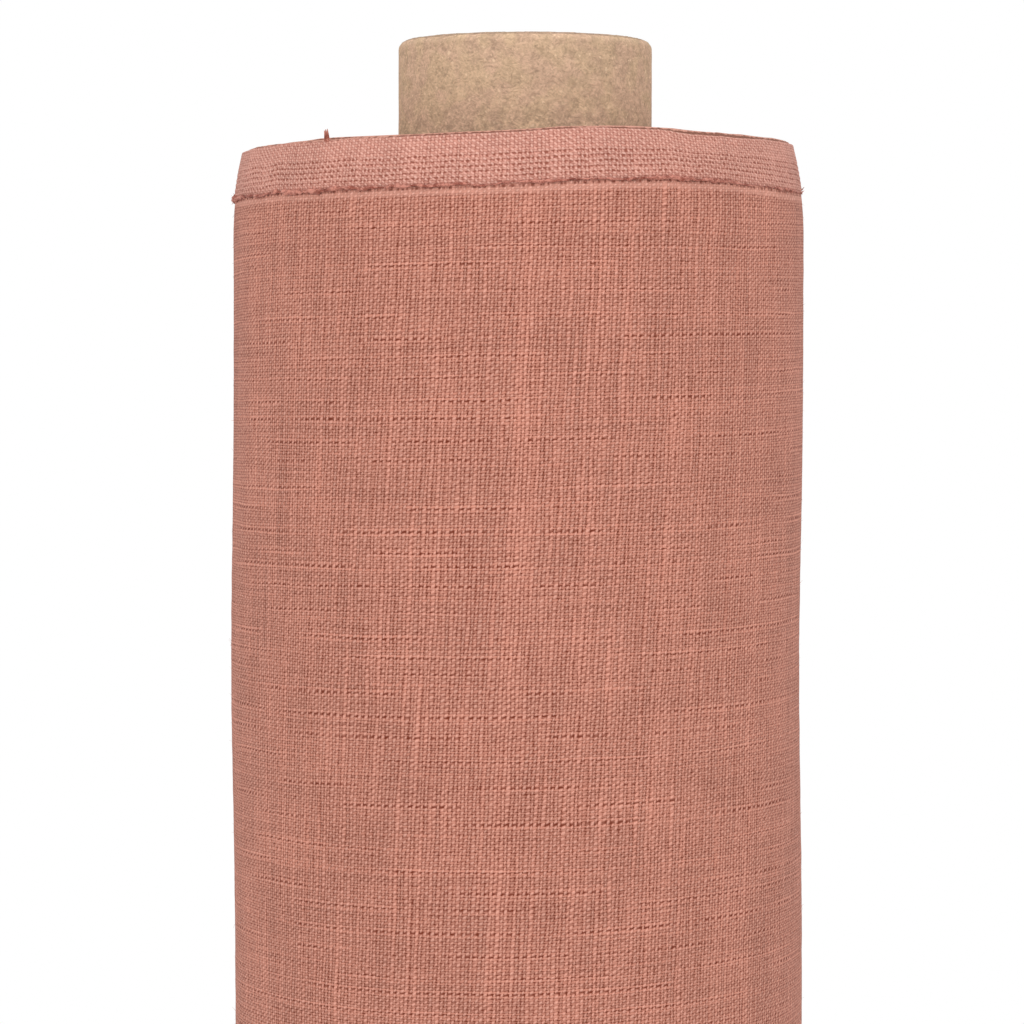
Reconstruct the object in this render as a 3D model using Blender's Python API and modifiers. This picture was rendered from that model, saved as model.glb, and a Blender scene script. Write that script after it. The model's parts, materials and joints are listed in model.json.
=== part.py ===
"""Fabric roll: cloth wound on a spirally glued cardboard core, standing on its end.

Run with: blender --background --python part.py

Metres, +Z up. The origin is at the centre of the foot, where the roll stands. The cloth is one
long piece, folded double along its length and then wound, with the fold at the foot and both
woven edges at the top. It is divided here where its plies part, where its weave changes (the
woven edges), at the fold, and where it moves (the free end, which peels off the roll as a chain
of narrow strips).
"""

import math
from dataclasses import dataclass

import bmesh
import bpy
from mathutils import Matrix, Vector

# Cardboard core
CORE_OUTER_R = 0.0250
CORE_WALL = 0.0045
CORE_STAND_OUT = 0.0205
FACING_PLY = 0.0006
LINER_PLY = 0.0005
RIM_ROUND = 0.0018
GLUE_LINE = 0.0001

# Cloth, folded double and wound
CLOTH_WIDTH = 1.400
ROLL_R = 0.0575
PLY_THICKNESS = 0.00055
PLY_GAP = 0.0001
LAP_GAP = 0.0002
SELVEDGE_WIDTH = 0.0096
FOLD_BAND = 0.0060
CUT_GAP = 0.0003
FIRST_TURN_GAP = 0.0002

# The wound edge leans in towards the core over the last stretch below the top
LEAN_HEIGHT = 0.0180
LEAN_IN = 0.0024
LEAN_STEPS = 4

# Free end of the cloth: angles are in degrees about +Z, seen from above
END_AZIMUTH = 120.0
STRIP_COUNT = 4
STRIP_ANGLE = 22.5
TAIL_LIFT = 0.0005
PEEL_DEPTH = 0.0003

# Double-sided tape that holds the first turn to the core
TAPE_THICKNESS = 0.0002
TAPE_HEIGHT = 0.0600
TAPE_ANGLE = 60.0
TAPE_NAMES = ("start_tape_lower", "start_tape_middle", "start_tape_upper")

FACET_ANGLE = 3.75
RIM_SEGMENTS = 5
MERGE_DISTANCE = 1e-5
SHARP_ANGLE = math.radians(35)

FULL_TURN = 360.0
DOUBLED = 2 * PLY_THICKNESS + PLY_GAP
LAP = DOUBLED + LAP_GAP
TAIL_ANGLE = STRIP_COUNT * STRIP_ANGLE
HALF_CUT_ANGLE = math.degrees(CUT_GAP / 2 / ROLL_R)
CORE_BORE_R = CORE_OUTER_R - CORE_WALL
ROLL_HEIGHT = CLOTH_WIDTH / 2
CORE_LENGTH = ROLL_HEIGHT + CORE_STAND_OUT
WOUND_BORE_R = CORE_OUTER_R + GLUE_LINE + TAPE_THICKNESS + FIRST_TURN_GAP


@dataclass(frozen=True)
class Finish:
    """Colour (linear RGB), roughness and metallic value of one material."""

    name: str
    colour: tuple
    roughness: float
    metallic: float = 0.0


LINEN = Finish("linen", (0.52, 0.22, 0.16), 0.9)
SELVEDGE = Finish("selvedge", (0.60, 0.28, 0.22), 0.9)
KRAFT = Finish("kraft_board", (0.57, 0.37, 0.25), 0.85)
GREY_BOARD = Finish("grey_board", (0.42, 0.30, 0.21), 0.9)
TAPE = Finish("paper_tape", (0.75, 0.68, 0.52), 0.6)


def clear_scene():
    for obj in list(bpy.data.objects):
        bpy.data.objects.remove(obj, do_unlink=True)


def new_collection(name):
    collection = bpy.data.collections.new(name)
    bpy.context.scene.collection.children.link(collection)
    return collection


def new_material(finish):
    material = bpy.data.materials.new(finish.name)
    material.use_nodes = True
    shader = material.node_tree.nodes["Principled BSDF"]
    shader.inputs["Base Color"].default_value = (*finish.colour, 1.0)
    shader.inputs["Roughness"].default_value = finish.roughness
    shader.inputs["Metallic"].default_value = finish.metallic
    return material


def add_object(name, mesh, finish, collection):
    obj = bpy.data.objects.new(name, mesh)
    collection.objects.link(obj)
    material = bpy.data.materials.get(finish.name) or new_material(finish)
    mesh.materials.append(material)
    return obj


def shade(mesh):
    mesh.shade_smooth()
    mesh.set_sharp_from_angle(angle=SHARP_ANGLE)


# ---------------------------------------------------------------- cardboard core


def rim_height(radius):
    """Height of the top rim at this radius: its outer corner is worn round."""
    past = radius - (CORE_OUTER_R - RIM_ROUND)
    if past <= 0:
        return CORE_LENGTH
    return CORE_LENGTH - RIM_ROUND + math.sqrt(max(RIM_ROUND**2 - past**2, 0.0))


def ply_profile(inner_r, outer_r):
    """Section of one ply at +X: from the bore up over the rim, then down the outer side."""
    points = [(inner_r, 0.0), (inner_r, rim_height(inner_r))]
    round_start = max(inner_r, CORE_OUTER_R - RIM_ROUND)
    if outer_r > round_start:
        reach = [
            math.asin(min((r - (CORE_OUTER_R - RIM_ROUND)) / RIM_ROUND, 1.0))
            for r in (round_start, outer_r)
        ]
        for step in range(RIM_SEGMENTS + 1):
            turn = reach[0] + (reach[1] - reach[0]) * step / RIM_SEGMENTS
            radius = CORE_OUTER_R - RIM_ROUND + RIM_ROUND * math.sin(turn)
            if radius > inner_r + GLUE_LINE:
                points.append((radius, CORE_LENGTH - RIM_ROUND + RIM_ROUND * math.cos(turn)))
    else:
        points.append((outer_r, rim_height(outer_r)))
    points.append((outer_r, 0.0))
    return points


def turned_ply(name, inner_r, outer_r, finish, collection):
    """One ply group of the core: its section turned about Z with a Screw modifier."""
    mesh = bpy.data.meshes.new(name)
    section = bmesh.new()
    corners = [section.verts.new((r, 0.0, z)) for r, z in ply_profile(inner_r, outer_r)]
    for first, second in zip(corners, corners[1:] + corners[:1]):
        section.edges.new((first, second))
    section.to_mesh(mesh)
    section.free()
    obj = add_object(name, mesh, finish, collection)
    screw = obj.modifiers.new("turn", "SCREW")
    screw.steps = round(FULL_TURN / FACET_ANGLE)
    screw.render_steps = screw.steps
    screw.use_merge_vertices = True
    screw.merge_threshold = MERGE_DISTANCE
    screw.use_smooth_shade = True
    return obj


def build_core(collection):
    """Liner, board and kraft facing: the ply groups of a spirally wound tube, a glue line apart."""
    liner_r = CORE_BORE_R + LINER_PLY
    facing_r = CORE_OUTER_R - FACING_PLY
    turned_ply("core_liner_ply", CORE_BORE_R, liner_r, KRAFT, collection)
    turned_ply("core_board", liner_r + GLUE_LINE, facing_r - GLUE_LINE, GREY_BOARD, collection)
    turned_ply("core_facing_ply", facing_r, CORE_OUTER_R, KRAFT, collection)


# ---------------------------------------------------------------- cloth


def lap_radius(unwound):
    """Outer radius of the winding, this many degrees back from the cloth's free end."""
    return ROLL_R - LAP * unwound / FULL_TURN


def leaned(radius, height):
    """Radius once the wound edge has leaned in: nothing at the core, all of it at the outside."""
    past = max(height - (ROLL_HEIGHT - LEAN_HEIGHT), 0.0) / LEAN_HEIGHT
    share = (radius - WOUND_BORE_R) / (ROLL_R - WOUND_BORE_R)
    return radius - LEAN_IN * max(share, 0.0) * past**2


def point_at(azimuth, radius, height):
    turn = math.radians(azimuth)
    reach = leaned(radius, height)
    return Vector((reach * math.cos(turn), reach * math.sin(turn), height))


def heights_between(low, high):
    """Section heights from low to high, closer together where the edge leans in."""
    lean_start = ROLL_HEIGHT - LEAN_HEIGHT
    steps = [lean_start + LEAN_HEIGHT * i / LEAN_STEPS for i in range(LEAN_STEPS + 1)]
    return [low] + [h for h in steps if low < h < high] + [high]


def join_rings(solid, rings):
    """Side faces between each ring of corners and the next one up."""
    for lower, upper in zip(rings, rings[1:]):
        for i in range(len(lower)):
            j = (i + 1) % len(lower)
            solid.faces.new((lower[i], lower[j], upper[j], upper[i]))


def finish_solid(name, solid, finish, collection):
    """Object of a closed bmesh, its faces turned outwards."""
    bmesh.ops.recalc_face_normals(solid, faces=solid.faces)
    mesh = bpy.data.meshes.new(name)
    solid.to_mesh(mesh)
    solid.free()
    obj = add_object(name, mesh, finish, collection)
    shade(mesh)
    return obj


def lofted_strip(name, outline_at, heights, finish, collection):
    """Closed solid through the same strip-shaped outline at each height.

    outline_at(height) runs out along one side of the strip and back along the other, corner
    for corner. The sections differ in radius, so this is a loft and not an extrusion.
    """
    solid = bmesh.new()
    rings = [[solid.verts.new(p) for p in outline_at(height)] for height in heights]
    join_rings(solid, rings)
    for ring in (rings[0], rings[-1]):
        for i in range(len(ring) // 2 - 1):
            solid.faces.new((ring[i], ring[i + 1], ring[-2 - i], ring[-1 - i]))
    return finish_solid(name, solid, finish, collection)


def layer_outline(first, last, depth, thickness, height):
    """Outline of a layer between two unwound angles: its outer side, then its inner side.

    depth is how far its outer side lies under the outside of the winding.
    """
    count = max(round((last - first) / FACET_ANGLE), 1)
    steps = [first + (last - first) * i / count for i in range(count + 1)]
    steps[0] += HALF_CUT_ANGLE
    steps[-1] -= HALF_CUT_ANGLE
    outer = [point_at(END_AZIMUTH - u, lap_radius(u) - depth, height) for u in reversed(steps)]
    inner_depth = depth + thickness
    inner = [point_at(END_AZIMUTH - u, lap_radius(u) - inner_depth, height) for u in steps]
    return outer + inner


@dataclass(frozen=True)
class Layer:
    """A layer's reach round the roll (unwound degrees) and its place under the outside."""

    first: float
    last: float
    depth: float
    thickness: float

    def build(self, name, low, high, finish, collection):
        """Closed solid of this layer between two heights."""

        def outline(height):
            return layer_outline(self.first, self.last, self.depth, self.thickness, height)

        return lofted_strip(name, outline, heights_between(low, high), finish, collection)


def wound_rings(height):
    """Outer and inner ring of the wound turns, each stepping by one lap where the cloth ends."""
    count = round(FULL_TURN / FACET_ANGLE)
    outer = []
    inner = []
    for i in range(count + 1):
        share = i / count
        azimuth = END_AZIMUTH - FULL_TURN + FULL_TURN * share
        if i == 0:
            azimuth += HALF_CUT_ANGLE
        if i == count:
            azimuth -= HALF_CUT_ANGLE
        radius = lap_radius(FULL_TURN * (2 - share))
        outer.append(point_at(azimuth, radius, height))
        inner.append(point_at(azimuth, WOUND_BORE_R + DOUBLED * share, height))
    outer.append(point_at(END_AZIMUTH - HALF_CUT_ANGLE, lap_radius(2 * FULL_TURN), height))
    inner.append(point_at(END_AZIMUTH - HALF_CUT_ANGLE, WOUND_BORE_R, height))
    return outer, inner


def build_wound_cloth(collection):
    """All the turns under the last one, from the first turn on the core to the last lap."""
    solid = bmesh.new()
    outer_rings = []
    inner_rings = []
    for height in heights_between(0.0, ROLL_HEIGHT):
        outer, inner = wound_rings(height)
        outer_rings.append([solid.verts.new(p) for p in outer])
        inner_rings.append([solid.verts.new(p) for p in inner])
    join_rings(solid, outer_rings)
    join_rings(solid, inner_rings)
    for end in (0, -1):
        join_rings(solid, [inner_rings[end], outer_rings[end]])
    finish_solid("wound_cloth", solid, LINEN, collection)


def build_outer_turn(collection):
    """The last turn up to the line where the free end peels off.

    Its outer ply and under ply hang from one fold at the foot, and each ends in a woven edge.
    """
    outer = Layer(TAIL_ANGLE, FULL_TURN, 0.0, PLY_THICKNESS)
    under = Layer(TAIL_ANGLE, FULL_TURN, PLY_THICKNESS + PLY_GAP, PLY_THICKNESS)
    both = Layer(TAIL_ANGLE, FULL_TURN, 0.0, DOUBLED)
    low = FOLD_BAND + CUT_GAP
    high = ROLL_HEIGHT - SELVEDGE_WIDTH
    outer.build("outer_ply", low, high - CUT_GAP, LINEN, collection)
    under.build("under_ply", low, high - CUT_GAP, LINEN, collection)
    outer.build("outer_selvedge", high, ROLL_HEIGHT, SELVEDGE, collection)
    under.build("under_selvedge", high, ROLL_HEIGHT, SELVEDGE, collection)
    both.build("bottom_fold", 0.0, FOLD_BAND, LINEN, collection)


def peel_axis(strip):
    """Foot of the vertical line, just under the cloth's outside, that a strip turns about."""
    unwound = TAIL_ANGLE - STRIP_ANGLE * strip
    azimuth = math.radians(END_AZIMUTH - unwound)
    radius = lap_radius(unwound) - PEEL_DEPTH
    return Vector((radius * math.cos(azimuth), radius * math.sin(azimuth), 0.0))


def build_tail(collection):
    """The free end as doubled strips, each hung on an empty at its own peel line."""
    carrier = None
    for strip in range(STRIP_COUNT):
        last = TAIL_ANGLE - STRIP_ANGLE * strip
        both = Layer(last - STRIP_ANGLE, last, 0.0, DOUBLED)
        obj = both.build(f"tail_strip_{strip + 1}", TAIL_LIFT, ROLL_HEIGHT, LINEN, collection)
        pivot = bpy.data.objects.new(f"peel_{strip + 1}_axis", None)
        collection.objects.link(pivot)
        place = peel_axis(strip)
        pivot.location = place - (peel_axis(strip - 1) if carrier else Vector())
        pivot.parent = carrier
        obj.data.transform(Matrix.Translation(-place))
        obj.parent = pivot
        carrier = pivot


def tape_outline(height):
    """Outline of a tape strip round the core, its outer side and then its inner side."""
    count = round(TAPE_ANGLE / FACET_ANGLE)
    inner_r = CORE_OUTER_R + GLUE_LINE
    turns = [math.radians(END_AZIMUTH + FACET_ANGLE * i) for i in range(count + 1)]
    outer = [(inner_r + TAPE_THICKNESS, turn) for turn in turns]
    inner = [(inner_r, turn) for turn in reversed(turns)]
    return [Vector((r * math.cos(turn), r * math.sin(turn), height)) for r, turn in outer + inner]


def build_start_tape(collection):
    """Tape strips on the core, spread along it, that hold the cloth's first edge."""
    for index, name in enumerate(TAPE_NAMES):
        middle = ROLL_HEIGHT * (index + 1) / (len(TAPE_NAMES) + 1)
        heights = (middle - TAPE_HEIGHT / 2, middle + TAPE_HEIGHT / 2)
        lofted_strip(name, tape_outline, heights, TAPE, collection)


def main():
    clear_scene()
    roll = new_collection("fabric_roll")
    build_core(roll)
    build_start_tape(roll)
    build_wound_cloth(roll)
    build_outer_turn(roll)
    build_tail(roll)


main()
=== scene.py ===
"""Fabric roll: plain-weave linen folded double and wound on a cardboard core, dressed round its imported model.

Every shape is a function of two parameters worked out as whole numpy arrays. The cloth is measured in
degrees unwound from its free end: its radius falls by one lap a turn, and a point's place follows from
that angle, from its depth under the outside of the winding and from its height.
"""

from __future__ import annotations

import json
import logging
import math
from dataclasses import dataclass, field
from enum import Enum

import bpy
import numpy as np
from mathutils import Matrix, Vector

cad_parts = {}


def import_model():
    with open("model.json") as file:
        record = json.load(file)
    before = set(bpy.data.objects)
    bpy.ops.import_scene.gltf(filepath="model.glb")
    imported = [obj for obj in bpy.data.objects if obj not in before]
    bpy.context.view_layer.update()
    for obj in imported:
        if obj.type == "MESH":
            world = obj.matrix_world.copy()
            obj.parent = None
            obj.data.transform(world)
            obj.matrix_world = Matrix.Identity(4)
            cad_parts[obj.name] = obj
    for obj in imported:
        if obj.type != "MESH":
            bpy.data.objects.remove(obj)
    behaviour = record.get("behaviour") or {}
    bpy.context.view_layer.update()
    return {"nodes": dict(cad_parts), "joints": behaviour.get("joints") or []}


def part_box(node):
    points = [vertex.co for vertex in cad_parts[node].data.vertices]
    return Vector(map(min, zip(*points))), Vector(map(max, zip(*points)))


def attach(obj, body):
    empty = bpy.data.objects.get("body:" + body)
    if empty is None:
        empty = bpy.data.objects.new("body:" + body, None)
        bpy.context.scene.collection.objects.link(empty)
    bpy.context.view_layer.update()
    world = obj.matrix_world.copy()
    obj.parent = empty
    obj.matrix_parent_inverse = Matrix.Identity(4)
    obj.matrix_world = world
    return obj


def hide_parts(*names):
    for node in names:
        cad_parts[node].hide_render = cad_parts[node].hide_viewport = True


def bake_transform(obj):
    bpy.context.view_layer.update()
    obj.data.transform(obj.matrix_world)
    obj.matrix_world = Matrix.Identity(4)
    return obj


LOG = logging.getLogger("fabric_roll")
TUBE_RADIUS = 0.025  # turns an angle round the core into metres for the fleck group
PLACE = "cloth_place"  # point attribute: metres along the cloth, metres up it, metres below its edge
BAKE_MAP = "OFBake"
FULL_TURN = 360.0
MM = 0.001
SHARP_ANGLE = math.radians(40)
UP = np.array([0.0, 0.0, 1.0])

Socket = bpy.types.NodeSocket
Colour = tuple[float, float, float]


# ------------------------------------------------------------------ numbers that repeat


@dataclass
class Grain:
    """Smooth repeatable noise on a square lattice of seeded random numbers.

    Args:
        seed: starts the random draw.
        cells: lattice cells before the noise repeats, in both directions.
    """

    seed: int
    cells: int = 256
    table: np.ndarray = field(init=False, repr=False)

    def __post_init__(self) -> None:
        """Draws the lattice."""
        self.table = np.random.default_rng(self.seed).uniform(-1, 1, (self.cells, self.cells))

    def at(self, x: np.ndarray, y: np.ndarray | float = 0.0) -> np.ndarray:
        """Noise from -1 to 1: the four lattice corners round (x, y), mixed by smoothstep weights.

        Args:
            x: first place, in cells.
            y: second place, in cells.

        Returns:
            One value for each place.
        """
        x, y = np.broadcast_arrays(np.asarray(x, float), np.asarray(y, float))
        ix, iy = np.floor(x).astype(int), np.floor(y).astype(int)
        fx, fy = smooth(x - ix), smooth(y - iy)
        n, t = self.cells, self.table
        low = t[ix % n, iy % n] * (1 - fx) + t[(ix + 1) % n, iy % n] * fx
        high = t[ix % n, (iy + 1) % n] * (1 - fx) + t[(ix + 1) % n, (iy + 1) % n] * fx
        return low * (1 - fy) + high * fy


def smooth(share: np.ndarray) -> np.ndarray:
    """Smoothstep of a share that is clipped to 0..1."""
    share = np.clip(share, 0.0, 1.0)
    return share * share * (3 - 2 * share)


def stepped(low: float, high: float, step: float) -> np.ndarray:
    """Even places from low to high, no further apart than step."""
    return np.linspace(low, high, max(math.ceil(abs(high - low) / step), 1) + 1)


# ------------------------------------------------------------------ meshes from arrays


@dataclass
class Shell:
    """One closed surface: its points, four-sided faces, other faces, place attribute and finish.

    Args:
        points: one row of x, y, z a point, in metres.
        quads: four point numbers a face.
        others: faces with any other number of corners.
        place: the cloth_place attribute of each point.
        slot: which of the piece's materials it wears.
        layout: the bake map of each face corner, quads first, or None.
    """

    points: np.ndarray
    quads: np.ndarray
    others: list[list[int]] = field(default_factory=list)
    place: np.ndarray | None = None
    slot: int = 0
    layout: np.ndarray | None = None

    def turned_out(self) -> Shell:
        """The shell with its faces turned outwards: the summed corner volumes are made positive."""
        a, b, c, d = (self.points[self.quads[:, k]] for k in range(4))
        volume = (np.cross(a, b) * c).sum() + (np.cross(a, c) * d).sum()
        if volume < 0:
            self.quads = self.quads[:, ::-1]
            self.others = [face[::-1] for face in self.others]
            if self.layout is not None:
                self.layout = self.flipped_layout()
        return self

    def flipped_layout(self) -> np.ndarray:
        """The bake map with each face's corners in the opposite order."""
        count = len(self.quads) * 4
        parts = [self.layout[:count].reshape(-1, 4, 2)[:, ::-1].reshape(-1, 2)]
        for face in self.others:
            parts.append(self.layout[count : count + len(face)][::-1])
            count += len(face)
        return np.concatenate(parts)


def make_piece(name: str, shells: list[Shell], finishes: list[bpy.types.Material]) -> bpy.types.Object:
    """One mesh object of several shells, placed in its mesh with the object at the origin.

    Args:
        name: the piece's name.
        shells: the surfaces, each with its own number in finishes.
        finishes: the materials.

    Returns:
        The object, linked to the scene.
    """
    points, faces, slots, places, layouts = [], [], [], [], []
    start = 0
    for shell in shells:
        shell = shell.turned_out()
        found = (shell.quads + start).tolist() + [[i + start for i in f] for f in shell.others]
        faces += found
        slots += [shell.slot] * len(found)
        points.append(shell.points)
        places.append(np.zeros_like(shell.points) if shell.place is None else shell.place)
        if shell.layout is not None:
            layouts.append(shell.layout)
        start += len(shell.points)
    mesh = bpy.data.meshes.new(name)
    mesh.from_pydata(np.concatenate(points).tolist(), [], faces)
    mesh.polygons.foreach_set("material_index", np.array(slots, np.int32))
    attribute = mesh.attributes.new(PLACE, "FLOAT_VECTOR", "POINT")
    attribute.data.foreach_set("vector", np.concatenate(places).astype(np.float32).ravel())
    if len(layouts) == len(shells):
        layer = mesh.uv_layers.new(name=BAKE_MAP)
        layer.uv.foreach_set("vector", np.concatenate(layouts).astype(np.float32).ravel())
    for finish in finishes:
        mesh.materials.append(finish)
    mesh.shade_smooth()
    mesh.set_sharp_from_angle(angle=SHARP_ANGLE)
    mesh.update()
    obj = bpy.data.objects.new(name, mesh)
    bpy.context.scene.collection.objects.link(obj)
    LOG.info("%s: %d points, %d faces", name, len(mesh.vertices), len(mesh.polygons))
    return obj


def ring_quads(columns: int, rows: int, joined: bool = False) -> np.ndarray:
    """Faces of a grid of columns, each a closed ring of the same number of points.

    Args:
        columns: number of columns.
        rows: points in a column.
        joined: the last column runs on into the first.

    Returns:
        Four point numbers a face, column by column.
    """
    i = np.arange(columns if joined else columns - 1)[:, None]
    j = np.arange(rows)[None, :]
    right, up = (i + 1) % columns, (j + 1) % rows
    corners = [i * rows + j, right * rows + j, right * rows + up, i * rows + up]
    return np.stack(np.broadcast_arrays(*corners), axis=-1).reshape(-1, 4)


def capped(
    points: np.ndarray, place: np.ndarray | None = None, slot: int = 0, layout: np.ndarray | None = None
) -> Shell:
    """A stretch of closed rings, one a column, whose first and last rings are faces.

    Args:
        points: columns by points in a ring by x, y and z.
        place: the cloth_place attribute, in the same form.
        slot: which of the piece's materials it wears.
        layout: the bake map, or None.
    """
    columns, rows = points.shape[:2]
    ends = [list(range(rows))[::-1], list(range((columns - 1) * rows, columns * rows))]
    if place is not None:
        place = place.reshape(-1, 3)
    return Shell(points.reshape(-1, 3), ring_quads(columns, rows), ends, place, slot, layout)


def strands(
    roots: np.ndarray,
    heads: np.ndarray,
    bends: np.ndarray,
    radius: np.ndarray | float,
    rings: int = 4,
    place: np.ndarray | None = None,
) -> Shell:
    """Thin tapering threads with three sides.

    A thread's middle line is root + t * head + t^2 * bend, for t from 0 to 1, and its radius falls by
    three quarters on the way.

    Args:
        roots: where each starts.
        heads: which way and how far each goes.
        bends: how far its tip is carried sideways.
        radius: at the root.
        rings: rings of points along each.
        place: the cloth_place attribute of each thread, or None.

    Returns:
        All the threads as one shell.
    """
    count, sides = len(roots), 3
    t = np.linspace(0, 1, rings)[None, :, None]
    line = roots[:, None] + t * heads[:, None] + t * t * bends[:, None]
    along = heads[:, None] + 2 * t * bends[:, None]
    along = along / np.linalg.norm(along, axis=2, keepdims=True)
    guide = np.where(np.abs(along[..., 2:]) > 0.8, [1.0, 0.0, 0.0], [0.0, 0.0, 1.0])
    side = np.cross(along, guide)
    side = side / np.linalg.norm(side, axis=2, keepdims=True)
    other = np.cross(along, side)
    size = (np.broadcast_to(radius, (count,))[:, None, None] * (1 - 0.75 * t))[..., None]
    turn = (np.arange(sides) * 2 * math.pi / sides)[None, None, :, None]
    points = line[:, :, None] + size * (np.cos(turn) * side[:, :, None] + np.sin(turn) * other[:, :, None])
    one = ring_quads(rings, sides)
    start = (np.arange(count) * rings * sides)[:, None, None]
    quads = (one[None] + start).reshape(-1, 4)
    caps = np.array([[2, 1, 0], [(rings - 1) * sides + k for k in range(sides)]])
    others = (caps[None] + start).reshape(-1, sides).tolist()
    if place is not None:
        place = np.repeat(place, rings * sides, axis=0)
    return Shell(points.reshape(-1, 3), quads, others, place)


# ------------------------------------------------------------------ shader building


@dataclass
class Signal:
    """One value of a shader, whose sums and products add Math nodes to its tree.

    Args:
        bench: adds the nodes.
        socket: the value.
    """

    bench: Bench
    socket: Socket

    def by(self, operation: str, *values: Value) -> Signal:
        """A Math node on the value and up to two more."""
        return self.bench.maths(operation, self, *values)

    def __add__(self, other: Value) -> Signal:
        """The sum."""
        return self.by("ADD", other)

    def __sub__(self, other: Value) -> Signal:
        """The difference."""
        return self.by("SUBTRACT", other)

    def __rsub__(self, other: Value) -> Signal:
        """The difference, from the other value."""
        return self.bench.maths("SUBTRACT", other, self)

    def __mul__(self, other: Value) -> Signal:
        """The product."""
        return self.by("MULTIPLY", other)

    def __truediv__(self, other: Value) -> Signal:
        """The quotient."""
        return self.by("DIVIDE", other)

    def __abs__(self) -> Signal:
        """The value without its sign."""
        return self.by("ABSOLUTE")


Value = float | int | tuple | Socket | Signal


@dataclass
class Bench:
    """Adds shader nodes to one tree and links them."""

    tree: bpy.types.NodeTree

    def add(self, kind: str, **settings: object) -> bpy.types.Node:
        """A new node with these properties."""
        node = self.tree.nodes.new(kind)
        for name, value in settings.items():
            setattr(node, name, value)
        return node

    def feed(self, socket: Socket, value: Value) -> None:
        """Links a socket's value, or sets it."""
        value = value.socket if isinstance(value, Signal) else value
        if isinstance(value, Socket):
            self.tree.links.new(value, socket)
        else:
            socket.default_value = value

    def fed(self, node: bpy.types.Node, values: dict[int | str, Value], output: int = 0) -> Signal:
        """One output of a node whose inputs are fed by number or name."""
        for key, value in values.items():
            self.feed(node.inputs[key], value)
        return Signal(self, node.outputs[output])

    def maths(self, operation: str, *values: Value) -> Signal:
        """One Math node on up to three values."""
        return self.fed(self.add("ShaderNodeMath", operation=operation), dict(enumerate(values)))

    def vector(self, *values: Value) -> Signal:
        """Two or three values as one vector."""
        return self.fed(self.add("ShaderNodeCombineXYZ"), dict(enumerate(values)))

    def split(self, vector: Value) -> tuple[Signal, Signal, Signal]:
        """A vector's three values."""
        node = self.add("ShaderNodeSeparateXYZ")
        self.feed(node.inputs[0], vector)
        return tuple(Signal(self, found) for found in node.outputs)

    def noise(self, place: Value, scale: float, detail: float = 0.0, flat: bool = True) -> Signal:
        """Noise from 0 to 1, in two dimensions or three."""
        node = self.add("ShaderNodeTexNoise", noise_dimensions="2D" if flat else "3D")
        return self.fed(node, {"Vector": place, "Scale": scale, "Detail": detail})

    def stretched(self, x: Value, x_scale: float, y: Value, y_scale: float, detail: float = 1.0) -> Signal:
        """Noise from 0 to 1 in two dimensions, with a scale for each."""
        place = self.vector(self.maths("MULTIPLY", x, x_scale), self.maths("MULTIPLY", y, y_scale))
        return self.noise(place, 1.0, detail)

    def dice(self, value: Value) -> Signal:
        """A random value from 0 to 1 for each whole number."""
        return self.fed(self.add("ShaderNodeTexWhiteNoise", noise_dimensions="1D"), {"W": value})

    def ease(self, value: Value, low: Value, high: Value, start: float = 0.0, end: float = 1.0) -> Signal:
        """Smoothstep from start at low to end at high."""
        node = self.add("ShaderNodeMapRange", interpolation_type="SMOOTHSTEP")
        names = ("Value", "From Min", "From Max", "To Min", "To Max")
        return self.fed(node, dict(zip(names, (value, low, high, start, end))))

    def blend(self, share: Value, first: Value, second: Value, way: str = "MIX") -> Signal:
        """Two colours mixed by a share, which the node clips to 0..1."""
        node = self.add("ShaderNodeMix", data_type="RGBA", blend_type=way)
        return self.fed(node, {0: share, 6: first, 7: second}, 2)

    def coats(self, colour: Value, *coats: tuple[Value, Colour]) -> Signal:
        """Colours laid over a first one in turn, each by its own share."""
        for share, over in coats:
            colour = self.blend(share, colour, shaded(over))
        return colour

    def group(self, tree: bpy.types.NodeTree, **values: Value) -> dict[str, Signal]:
        """The outputs of a node group, its inputs given by name with spaces as underscores."""
        node = self.add("ShaderNodeGroup", node_tree=tree)
        self.fed(node, {name.replace("_", " "): value for name, value in values.items()})
        return {name: Signal(self, found) for name, found in node.outputs.items()}


def new_group(
    name: str, inputs: list[str], outputs: list[str]
) -> tuple[Bench, dict[str, Signal], dict[str, Socket]]:
    """An empty node group with a place and named values as its inputs.

    Args:
        name: the group's name.
        inputs: names of the inputs after Place, which is a vector.
        outputs: names of the outputs.

    Returns:
        A bench on it, its inputs' values and its output sockets by name.
    """
    tree = bpy.data.node_groups.new(name, "ShaderNodeTree")
    tree.interface.new_socket(name="Place", in_out="INPUT", socket_type="NodeSocketVector")
    for way, titles in (("INPUT", inputs), ("OUTPUT", outputs)):
        for title in titles:
            tree.interface.new_socket(name=title, in_out=way, socket_type="NodeSocketFloat")
    bench = Bench(tree)
    start, end = bench.add("NodeGroupInput"), bench.add("NodeGroupOutput")
    given = {title: Signal(bench, found) for title, found in start.outputs.items()}
    return bench, given, dict(end.inputs.items())


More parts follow.
